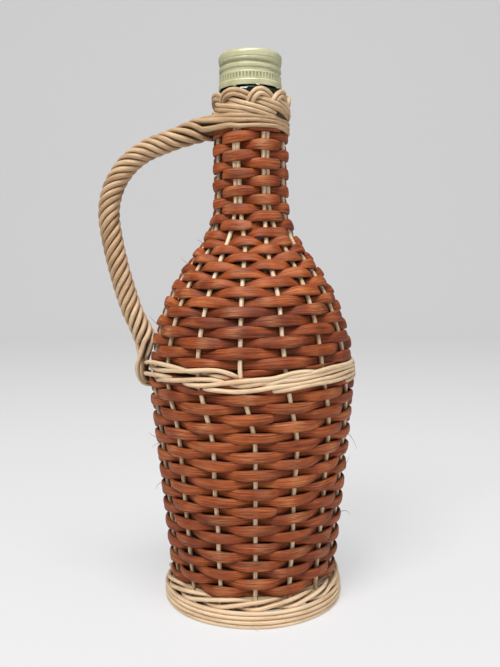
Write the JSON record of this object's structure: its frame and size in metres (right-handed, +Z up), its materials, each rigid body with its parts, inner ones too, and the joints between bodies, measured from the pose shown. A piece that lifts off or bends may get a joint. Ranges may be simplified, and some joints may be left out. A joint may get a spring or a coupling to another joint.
{
  "type": "cane covered handled bottle",
  "caption": "Dark glass bottle covered in woven cane, with a roped cane handle, a plaited collar and a screw cap, for keeping and pouring wine.",
  "frame": {"origin": "on the bottle's axis at the level of the table it stands on", "axes": "+Z up along the bottle's axis, -Y the front seen in the picture, -X the side of the handle"},
  "size_m": [0.1297, 0.1051, 0.2738],
  "materials": {
    "dark_glass": "gloss",
    "cap_enamel": "satin",
    "sealing_liner": "matte",
    "cream_cane": "satin",
    "brown_cane": "satin"
  },
  "bodies": {
    "bottle": {"glass_bottle": "dark_glass", "stake_cane_1": "cream_cane", "stake_cane_2": "cream_cane", "stake_cane_3": "cream_cane", "stake_cane_4": "cream_cane", "stake_cane_5": "cream_cane", "stake_cane_6": "cream_cane", "stake_cane_7": "cream_cane", "stake_cane_8": "cream_cane", "base_weaver": "brown_cane", "foot_rim": "cream_cane", "foot_winding": "cream_cane", "foot_wale_1": "cream_cane", "foot_wale_2": "cream_cane", "foot_wale_3": "cream_cane", "wall_weaver_1": "brown_cane", "wall_weaver_2": "brown_cane", "wall_weaver_3": "brown_cane", "waist_rod_1": "cream_cane", "waist_rod_2": "cream_cane", "waist_rod_3": "cream_cane", "waist_rod_4": "cream_cane", "shoulder_weaver_1": "brown_cane", "shoulder_weaver_2": "brown_cane", "neck_weaver": "brown_cane", "handle_core": "cream_cane", "handle_strand_1": "cream_cane", "handle_strand_2": "cream_cane", "handle_strand_3": "cream_cane", "handle_strand_4": "cream_cane", "handle_strand_5": "cream_cane", "handle_strand_6": "cream_cane"},
    "liner": {"cap_liner": "sealing_liner"},
    "cap": {"screw_cap": "cap_enamel"}
  },
  "joints": [
    {"name": "cap_lift", "type": "slide", "parent": "bottle", "child": "liner", "axis": [0, 0, 1], "range_m": [0, 0.02471]},
    {"name": "cap_turn", "type": "hinge", "parent": "liner", "child": "cap", "pos_m": [0, 0, 0.2738], "axis": [0, 0, 1], "range_deg": [0, 2340]}
  ],
  "couplings": [
    {"joint": "cap_lift", "follows": "cap_turn", "m_per_rad": 0.00060479}
  ]
}
